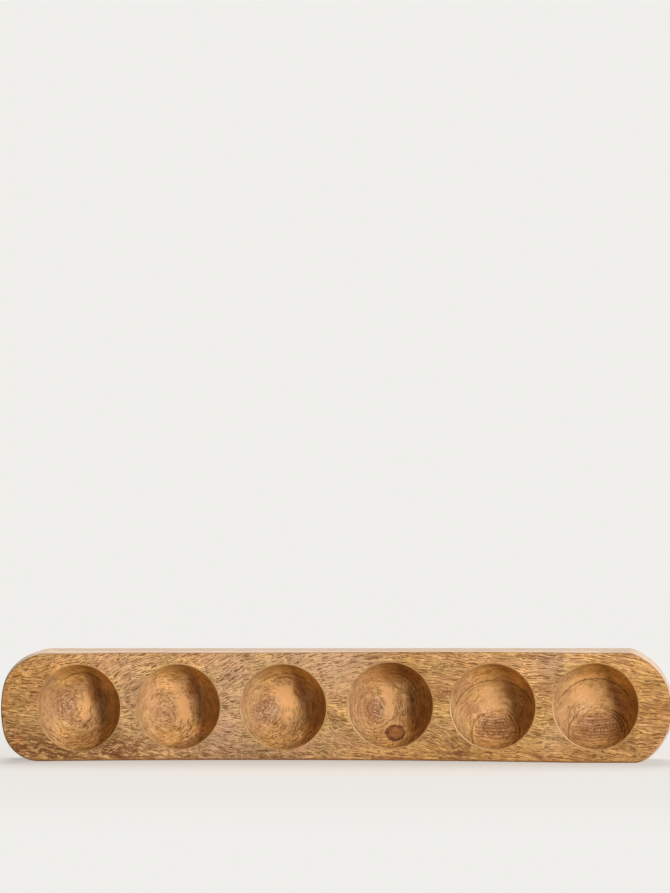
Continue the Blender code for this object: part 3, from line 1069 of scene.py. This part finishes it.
class WoodWeaver(Weaver):
    """Weaves the oiled wood. It holds what the steps share: places in millimetres and in the
    grain, the fibres, the noises, and where the hollows are calm and have their hearts."""

    def __init__(self, tree, wood):
        super().__init__(tree)
        self.wood = wood
        at = self.attribute
        self.inside = at("inside")
        self.spot = self.object_place()
        sway = self.vector("SUBTRACT", self.noise(self.spot, 0.06, 2.0)[1], (0.5, 0.5, 0.5))
        curl = self.vector("SUBTRACT", self.noise(self.spot, 0.24, 2.0)[1], (0.5, 0.5, 0.5))
        swayed = self.vector("ADD", self.spot, self.spread(sway, (4.0, 4.0, 4.0)))
        self.swayed = self.vector("ADD", swayed, self.spread(curl, (1.6, 1.6, 1.6)))
        self.along, _, across = self.parts(self.swayed)
        layer = self.plus(at("layer"), self.times(self.parts(curl)[0], 5.0))
        self.grain = self.joined(self.along, across, layer)
        self.streak, self.pore = self.fibres()
        self.speck = self.noise(self.spot, 0.95, 2.0, 0.6)[0]
        self.rough_edge = self.math("SUBTRACT", self.noise(self.spot, 0.45, 3.0, 0.65)[0], 0.5)
        self.sag = self.pattern(
            self.joined(self.along, at("smile"), 0.0), (0.07, 0.68, 1.0), 2.0, 0.6, 0.25
        )
        calm = self.times(self.inside, self.between(0.0, 1.0, at("wall"), 0.30, 0.80))
        calm = self.math("MAXIMUM", self.times(at("pale_and_lit_part"), 0.85), calm)
        self.calm = self.math("MAXIMUM", calm, self.times(at("lit_top_side"), 0.85))
        self.heart_edge = self.ragged("heart", 0.9)
        self.hearted = self.times(self.between(-0.10, 0.40, self.heart_edge), at("heart_share"))

    def ragged(self, name, amount):
        """A number stored on the mesh, made uneven by the noise for rough edges."""
        return self.plus(self.attribute(name), self.times(self.rough_edge, amount))

    def fibres(self):
        """The streaks and the pores. The lie of the fibres goes in steps, so that each step is
        a whole straight-grained board. On the narrow sides the layers are cut finer."""
        stray = self.math("SUBTRACT", self.noise(self.spot, 0.11, 2.0, 0.6)[0], 0.5)
        lie = self.plus(self.attribute("lie"), self.times(stray, 0.40))
        lie = self.math("SNAP", lie, LIE_STEP)
        lie = self.times(lie, self.math("SUBTRACT", 1.0, self.inside))
        length = self.between(-20.0, 40.0, self.along, 10.0, 17.0)
        layers = self.between(0.0, 1.0, self.attribute("side"), 3.0, 0.75)
        sockets = {0: self.inside, 4: self.joined(length, 0.55, layers), 5: (5.0, 5.0, 0.75)}
        stretch = self.add("ShaderNodeMix", sockets, data_type="VECTOR").outputs[1]
        sockets = {"Place": self.grain, "Angle": lie, "Stretch": stretch}
        return self.add("ShaderNodeGroup", sockets, node_tree=fibres_group()).outputs

    def board(self):
        """The board's colour: fibres from brown to pale, golden and greyish parts, and slow
        and fine changes of lightness and hue."""
        at, wood = self.attribute, self.wood
        tone = self.add("ShaderNodeMix", {0: self.calm, 2: self.streak, 3: 0.62}).outputs[0]
        shade = self.mix(self.between(0.0, 0.55, tone), wood.brown, wood.tan)
        shade = self.mix(self.between(0.42, 1.0, tone, 0.0, 0.86), shade, wood.pale)
        shade = self.mix(at("gold"), shade, wood.gold, "MULTIPLY")
        shade = self.mix(self.times(at("grey"), 0.55), shade, wood.grey)
        band = self.pattern(self.grain, (0.012, 0.02, 0.22))
        shade = self.scaled(shade, self.between(0.35, 0.65, band, 0.88, 1.10))
        patchy = self.pattern(self.swayed, (0.05, 0.05, 0.11))
        shade = self.scaled(shade, self.between(0.32, 0.68, patchy, 0.85, 1.13))
        hue = self.pattern(self.swayed, (0.07, 0.10, 0.11))
        hue = self.mix(self.between(0.38, 0.62, hue), wood.straw, wood.blush)
        shade = self.mix(1.0, shade, hue, "MULTIPLY")
        grit = self.noise(self.spot, 1.2, 2.0, 0.7)[0]
        return self.scaled(shade, self.between(0.30, 0.70, grit, 0.90, 1.09))

    def layer_lines(self, shade):
        """Light and dark lines of the growth layers, and the smooth peach parts of the hollows,
        which are partly painted light.
        """
        at, wood = self.attribute, self.wood
        line = self.pattern(self.grain, (0.20, 0.20, 0.85), 2.0, 0.6, 0.2)
        lined = self.times(self.times(self.hearted, at("speckle")), 1.2)
        lined = self.math("SUBTRACT", self.inside, lined, clamp=True)
        light = self.times(self.between(0.55, 0.66, line, 0.0, 0.35), lined)
        shade = self.mix(light, shade, wood.pale)
        thin = self.times(self.between(0.47, 0.37, line), lined)
        thin = self.times(thin, self.between(0.0, 1.0, at("pale_and_lit_part"), 0.60, 0.05))
        shade = self.mix(thin, shade, wood.brown)
        # Partly painted light: smooth peach where the hollows' middles are lit.
        peach = self.between(0.34, 0.74, self.ragged("pale_and_lit_part", 2.0), 0.0, 0.80)
        return self.mix(peach, shade, wood.peach)

    def hearts(self, shade):
        """The grey-brown heart of each hollow: specks, and lines that sag across it."""
        at, wood = self.attribute, self.wood
        heart = self.mix(self.between(0.3, 0.6, self.speck, 0.5, 1.0), wood.brown, wood.heart)
        turns = self.times(self.noise(self.spot, 0.16, 2.0, 0.6)[0], 9.0)
        turns = self.plus(self.times(at("smile"), 3.7), turns)
        crease = self.between(-0.10, 0.75, self.math("SINE", turns))
        sagging = self.mix(self.between(0.38, 0.60, self.sag), wood.brown, wood.mauve)
        sagging = self.mix(self.times(crease, 0.80), sagging, wood.pore)
        lines = self.times(at("lined"), self.between(-0.1, 0.5, self.heart_edge, 0.95, 0.85))
        heart = self.mix(lines, heart, sagging)
        dotted = self.mix(self.between(0.45, 0.58, self.speck), wood.brown, wood.mauve)
        heart = self.mix(self.times(at("speckle"), 0.65), heart, dotted)
        return self.mix(self.hearted, shade, heart)

    def hollow_marks(self, shade):
        """The painted shade of the hollows, their dark flecks and painted glints, their tone with
        painted light and shade, the painted amber shade of their steep walls, and the thin arcs."""
        at, wood = self.attribute, self.wood
        # Painted shade: dark brown patches where the hollows lie in shadow.
        shaded = self.between(0.1, 0.9, self.ragged("shaded", 0.5), 0.0, 0.70)
        shade = self.mix(shaded, shade, wood.shade_brown)
        # Dark grain dots and pale painted glints, in the colour of the painted highlight.
        fleck_glint_colour = self.mix(self.between(0.42, 0.56, self.speck), wood.brown, wood.painted_highlight)
        strewn = self.math("ABSOLUTE", self.math("SUBTRACT", self.speck, 0.5))
        strewn = self.times(at("fleck_glint"), self.between(0.05, 0.14, strewn, 0.0, 0.65))
        shade = self.mix(strewn, shade, fleck_glint_colour)
        # Painted light and shade: the hollows' brightness, their tone with painted light and shade,
        # is drawn into their colour.
        shade = self.scaled(shade, at("bright"))
        # Painted shade: the steep walls are tinted amber.
        shade = self.mix(at("shade_amber"), shade, wood.shade_amber, "MULTIPLY")
        arc = self.between(0.60, 0.10, self.ragged("arc", 1.2), 0.0, 0.75)
        return self.mix(arc, shade, wood.pore)

    def board_marks(self, shade):
        """The pores, the dark and orange patches and the end grain."""
        at, wood = self.attribute, self.wood
        pores = self.times(self.pore, self.between(0.0, 1.0, self.calm, 0.84, 0.0))
        shade = self.mix(pores, shade, wood.pore)
        blotch = self.pattern(self.grain, (0.18, 0.55, 0.40), 3.0, 0.65)
        # Dark patches, partly painted shade along the lower edge.
        dark = self.times(at("dark"), self.between(0.43, 0.57, blotch, 0.10, 0.88))
        shade = self.mix(dark, shade, wood.pore)
        shade = self.mix(self.times(at("flare"), 0.45), shade, wood.flare)
        return self.mix(self.times(at("end_grain"), 0.20), shade, wood.brown)

    def edges(self, shade):
        """The painted light on the side that faces up, the dark arris, partly painted shade, and
        the painted highlights on the edges and rims.
        """
        at, wood = self.attribute, self.wood
        # Painted light: the side that faces up is drawn pale, with its grain.
        darker_lit_top = tuple(0.70 * value for value in wood.lit_top)
        lit_top = self.mix(self.between(0.1, 0.6, self.streak), darker_lit_top, wood.lit_top)
        shade = self.mix(self.times(at("lit_top_side"), 0.78), shade, lit_top)
        # Partly painted shade: the arris is darkened towards brown.
        arris = self.times(at("arris"), self.between(0.35, 0.6, self.speck, 0.35, 0.85))
        shade = self.mix(arris, shade, wood.brown)
        # Painted highlight on the shoulders that face up or right.
        painted_highlight = self.times(at("painted_highlight"), self.between(0.30, 0.55, self.speck, 0.55, 0.85))
        shade = self.mix(painted_highlight, shade, wood.painted_highlight)
        # Painted highlight on the rims that face the light.
        return self.mix(self.times(at("rim"), 0.95), shade, wood.lit)

    def knot(self, shade):
        """The knot: a dark rim, a lighter streaked middle, and a pale halo round it."""
        wood = self.wood
        ring, core = self.ragged("knot_ring", 0.80), self.ragged("knot_heart", 1.8)
        knot = self.mix(self.between(1.15, 0.75, core), wood.knot, wood.knot_core)
        knot = self.mix(self.between(0.42, 0.62, self.sag, 0.0, 0.3), knot, wood.knot_streak)
        shade = self.mix(self.between(1.50, 1.15, ring, 0.0, 0.35), shade, wood.peach)
        return self.mix(self.between(1.10, 0.94, ring), shade, knot)


def wood_material(wood):
    """Oiled wood. The fibres follow the lie of the grain, and are coloured by the growth
    layers, the marks of the hollows, the patches of the board, the edges and the knot."""
    material, shader = new_material("oiled_wood")
    weave = WoodWeaver(material.node_tree, wood)
    at = weave.attribute
    shade = weave.board()
    shade = weave.layer_lines(shade)
    shade = weave.hearts(shade)
    shade = weave.hollow_marks(shade)
    shade = weave.board_marks(shade)
    shade = weave.edges(shade)
    shade = weave.knot(shade)
    gloss = weave.between(0.0, 1.0, at("lit_top_side"), 0.28, 0.26)
    rough = weave.between(0.0, 1.0, weave.streak, 0.62, 0.54)
    rough = weave.plus(rough, weave.times(weave.pore, 0.12))
    rough = weave.plus(rough, weave.times(at("lit_top_side"), 0.14))
    rough = weave.math("SUBTRACT", rough, weave.times(at("painted_highlight"), 0.08))
    height = weave.math("SUBTRACT", weave.times(weave.streak, 0.35), weave.pore)
    bump = weave.bump(height, 0.35, 0.00015)
    weave.fill(
        shader,
        {"Base Color": shade, "Specular IOR Level": gloss, "Roughness": rough, "Normal": bump},
    )
    return material


def foot_grid(foot, node):
    """A foot as a turned surface: a film of glue down to the wood, a short wall, a rounded
    edge and a slightly dished end. The section is carried round the foot's axis."""
    low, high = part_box(node)
    centre_x, centre_z = (low.x + high.x) / 2, (low.z + high.z) / 2
    radius, base, top = (high.x - low.x) / 2, BLOCK_HIGH.y, high.y
    film = radius * 0.92
    arc = np.linspace(0, math.pi / 2, FOOT_POINTS)
    radii = np.concatenate(
        (
            [0, film * 0.5, film, film, radius - foot.edge_round * 0.3, radius],
            radius - foot.edge_round + foot.edge_round * np.cos(arc),
            radius * np.array((0.80, 0.74, 0.70, 0.35, 0.0)),
        )
    )
    dish = foot.edge_round * 0.4
    heights = np.concatenate(
        (
            [base, base, base, low.y, low.y, low.y + foot.edge_round * 0.3],
            top - foot.edge_round + foot.edge_round * np.sin(arc),
            top - dish * np.array((0.0, 0.4, 1.0, 1.0, 1.0)),
        )
    )
    turns = np.linspace(0, math.tau, FOOT_SIDES, endpoint=False)
    x = centre_x + radii[None, :] * np.cos(turns)[:, None]
    z = centre_z + radii[None, :] * np.sin(turns)[:, None]
    y = np.broadcast_to(heights, x.shape)
    return np.stack((x, y, z), axis=2)


def rubber_material(foot):
    """Matt moulded rubber, with a fine grain and a little dust on it."""
    material, shader = new_material("foot_rubber")
    weave = Weaver(material.node_tree)
    spot = weave.object_place()
    fine = weave.noise(spot, 3.2, 3.0, 0.6)[0]
    dust = weave.between(0.55, 0.75, weave.noise(spot, 0.7, 4.0, 0.7)[0])
    dusty = tuple(min(1.0, 2.2 * value + 0.03) for value in foot.rubber)
    shade = weave.mix(weave.times(dust, 0.4), foot.rubber, dusty)
    rough, bump = weave.between(0.3, 0.7, fine, 0.55, 0.8), weave.bump(fine, 0.4, 0.0001)
    weave.fill(shader, {"Base Color": shade, "Roughness": rough, "Normal": bump})
    return material


def new_object(name, data):
    """A new object in the scene."""
    thing = bpy.data.objects.new(name, data)
    bpy.context.scene.collection.objects.link(thing)
    return thing


def add_piece(mesh, material, slot, *nodes):
    """Adds a finished piece, makes it stand for its CAD nodes and ride with the tray."""
    mesh.materials.append(material)
    piece = new_object(mesh.name, mesh)
    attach(piece, "root")
    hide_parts(*nodes)


class EGGTRAY_OT_block(Operator):
    """Make the wooden block with its hollows and its grain"""

    bl_idname = "egg_tray.block"
    bl_label = "Wooden block"

    def execute(self, context):
        wood = context.scene.egg_tray.wood
        add_piece(tray_mesh(wood), wood_material(wood), "oiled_wood", "tray_block")
        return {"FINISHED"}


class EGGTRAY_OT_feet(Operator):
    """Make the four small feet under the tray"""

    bl_idname = "egg_tray.feet"
    bl_label = "Feet"

    def execute(self, context):
        foot = context.scene.egg_tray.foot
        rubber = rubber_material(foot)
        for node in FEET:
            mesh = mesh_from_grids(f"rubber_{node}", [(foot_grid(foot, node), True)])
            add_piece(mesh, rubber, "foot_rubber", node)
        return {"FINISHED"}


def floor_material(stage):
    """A pale floor that takes the tray's shadow near it, most of all by the left end, and turns
    into the plain colour of the backdrop further off, for the camera and for reflections. Near the
    tray its plain colour is warmed, a painted reflection of the wood's warm light. It throws little
    light back on the tray, and from below it isn't seen."""
    material, shader = new_material("pale_floor")
    tree = material.node_tree
    tree.nodes.remove(shader)
    weave = Weaver(tree)
    spot = weave.spread(weave.add("ShaderNodeTexCoord").outputs["Object"], FLOOR_STRETCH)
    distance = weave.vector("LENGTH", spot)
    aside = weave.vector("LENGTH", weave.vector("ADD", spot, SHADOW_SHIFT))
    far = weave.between(0.10, 0.45, distance, 0.64, 1.0)
    far = weave.math("MINIMUM", far, weave.between(0.02, 0.10, aside, 0.52, 1.0))
    looked = weave.rays("Camera", "Glossy", "Transmission")
    # Painted reflection: the floor near the tray is tinted warm.
    painted_warmth = weave.between(0.04, 0.16, distance)
    painted_warmth = weave.mix(painted_warmth, stage.painted_bounce, stage.backdrop)
    plain = weave.add("ShaderNodeEmission", {"Color": painted_warmth}).outputs[0]
    given = weave.mix(looked, stage.bounce, painted_warmth)
    soft = weave.add("ShaderNodeBsdfDiffuse", {"Color": given}).outputs[0]
    shown = weave.either(weave.times(looked, far), soft, plain)
    clear = weave.add("ShaderNodeBsdfTransparent").outputs[0]
    below = weave.add("ShaderNodeNewGeometry").outputs["Backfacing"]
    surface = weave.either(weave.times(below, looked), shown, clear)
    weave.put(tree.nodes["Material Output"].inputs["Surface"], surface)
    return material


def add_floor(stage):
    """A large flat floor just under the tray: a grid of four corners."""
    reach, low = FLOOR_REACH, BLOCK_LOW.z - FLOOR_GAP
    front = ((-reach, -reach, low), (reach, -reach, low))
    back = ((-reach, reach, low), (reach, reach, low))
    mesh = mesh_from_grids("floor", [(np.array((front, back)), False)])
    mesh.materials.append(floor_material(stage))
    floor = new_object("floor", mesh)


def add_world(stage):
    """The light from all around, the plain backdrop where it is looked at, and for
    reflections a room with a wide bright ceiling that is dim in front and at the left."""
    world = bpy.data.worlds.new("studio")
    world.use_nodes = True
    bpy.context.scene.world = world
    tree = world.node_tree
    weave = Weaver(tree)
    toward = weave.add("ShaderNodeTexCoord").outputs["Generated"]
    parts = weave.parts(toward)
    dim = weave.between(-0.6, 0.4, weave.plus(parts[1], weave.times(parts[0], 0.5)), 0.2, 1.0)
    ceiling = weave.vector("DOT_PRODUCT", toward, CEILING_WAY)
    dim = weave.times(dim, weave.between(0.2, 0.7, ceiling, 1.0, 5.0))
    glows = ((FILL_COLOUR, stage.fill), (stage.backdrop, dim), (stage.backdrop, 1.0))
    around, room, plain = (
        weave.add("ShaderNodeBackground", {"Color": (*glow, 1.0), "Strength": power}).outputs[0]
        for glow, power in glows
    )
    shown = weave.either(weave.rays("Glossy"), around, room)
    shown = weave.either(weave.rays("Camera", "Transmission"), shown, plain)
    weave.put(tree.nodes["World Output"].inputs["Surface"], shown)


def add_lamp(name, place, size, power, glow, shines):
    """An area lamp, with its width and height, that looks at the middle of the tray's face.
    Where shines is false, it isn't seen in reflections, and the camera never sees it."""
    lamp = bpy.data.lights.new(name, "AREA")
    lamp.shape = "RECTANGLE"
    lamp.size, lamp.size_y = size
    lamp.energy = power
    lamp.color = glow
    thing = new_object(name, lamp)
    thing.location = place
    aim = Vector((0, FACE_Y, MIDDLE_Z)) - Vector(place)
    thing.rotation_euler = aim.to_track_quat("-Z", "Y").to_euler()
    thing.visible_camera = False
    thing.visible_glossy = shines


def add_camera(stage):
    """A camera in front of the tray, turned and rolled a little. The lens brings the tray's
    length to the width that it has in the photograph."""
    camera = bpy.data.cameras.new("camera")
    camera.sensor_width = SENSOR_WIDE
    pixels_per_metre = TRAY_PIXELS / (2 * HALF_LENGTH)
    camera.lens = SENSOR_WIDE * pixels_per_metre * stage.camera_distance / PICTURE_HIGH
    camera.shift_x, camera.shift_y = (pixels / PICTURE_HIGH for pixels in SHIFT_PIXELS)
    thing = new_object("camera", camera)
    thing.location = (
        stage.camera_distance * math.sin(stage.camera_turn),
        FACE_Y - stage.camera_distance * math.cos(stage.camera_turn),
        stage.camera_height,
    )
    thing.rotation_euler = (math.pi / 2, stage.camera_roll, stage.camera_turn)
    bpy.context.scene.camera = thing


class EGGTRAY_OT_stage(Operator):
    """Set the pale floor, the light and the camera"""

    bl_idname = "egg_tray.stage"
    bl_label = "Stage"

    def execute(self, context):
        stage = context.scene.egg_tray.stage
        add_floor(stage)
        add_world(stage)
        add_lamp("key_lamp", KEY_PLACE, KEY_SIZE, stage.key_power, KEY_COLOUR, True)
        add_lamp("top_lamp", TOP_PLACE, TOP_SIZE, stage.top_power, TOP_COLOUR, False)
        add_camera(stage)
        context.scene.view_settings.view_transform = "Standard"
        return {"FINISHED"}


class EGGTRAY_PT_panel(Panel):
    """Lists the tray's pieces and what can be changed on them"""

    bl_label = "Egg Tray"
    bl_space_type = "VIEW_3D"
    bl_region_type = "UI"
    bl_category = "Egg Tray"

    def draw(self, context):
        settings = context.scene.egg_tray
        for label, group, operator in (
            ("Block", settings.wood, EGGTRAY_OT_block),
            ("Feet", settings.foot, EGGTRAY_OT_feet),
            ("Stage", settings.stage, EGGTRAY_OT_stage),
        ):
            box = self.layout.box()
            box.label(text=label)
            for name in group.__annotations__:
                box.prop(group, name)
            box.operator(operator.bl_idname)


CLASSES = (
    WoodSettings,
    FootSettings,
    StageSettings,
    TraySettings,
    EGGTRAY_OT_block,
    EGGTRAY_OT_feet,
    EGGTRAY_OT_stage,
    EGGTRAY_PT_panel,
)


def register():
    """Adds the classes and the settings to Blender."""
    for each in CLASSES:
        bpy.utils.register_class(each)
    bpy.types.Scene.egg_tray = PointerProperty(type=TraySettings)


def unregister():
    """Takes the settings and the classes away again."""
    del bpy.types.Scene.egg_tray
    for each in reversed(CLASSES):
        bpy.utils.unregister_class(each)


def main():
    """Registers the classes, and makes every piece and the stage."""
    register()
    bpy.ops.egg_tray.block()
    bpy.ops.egg_tray.feet()
    bpy.ops.egg_tray.stage()


if __name__ == "__main__":
    main()
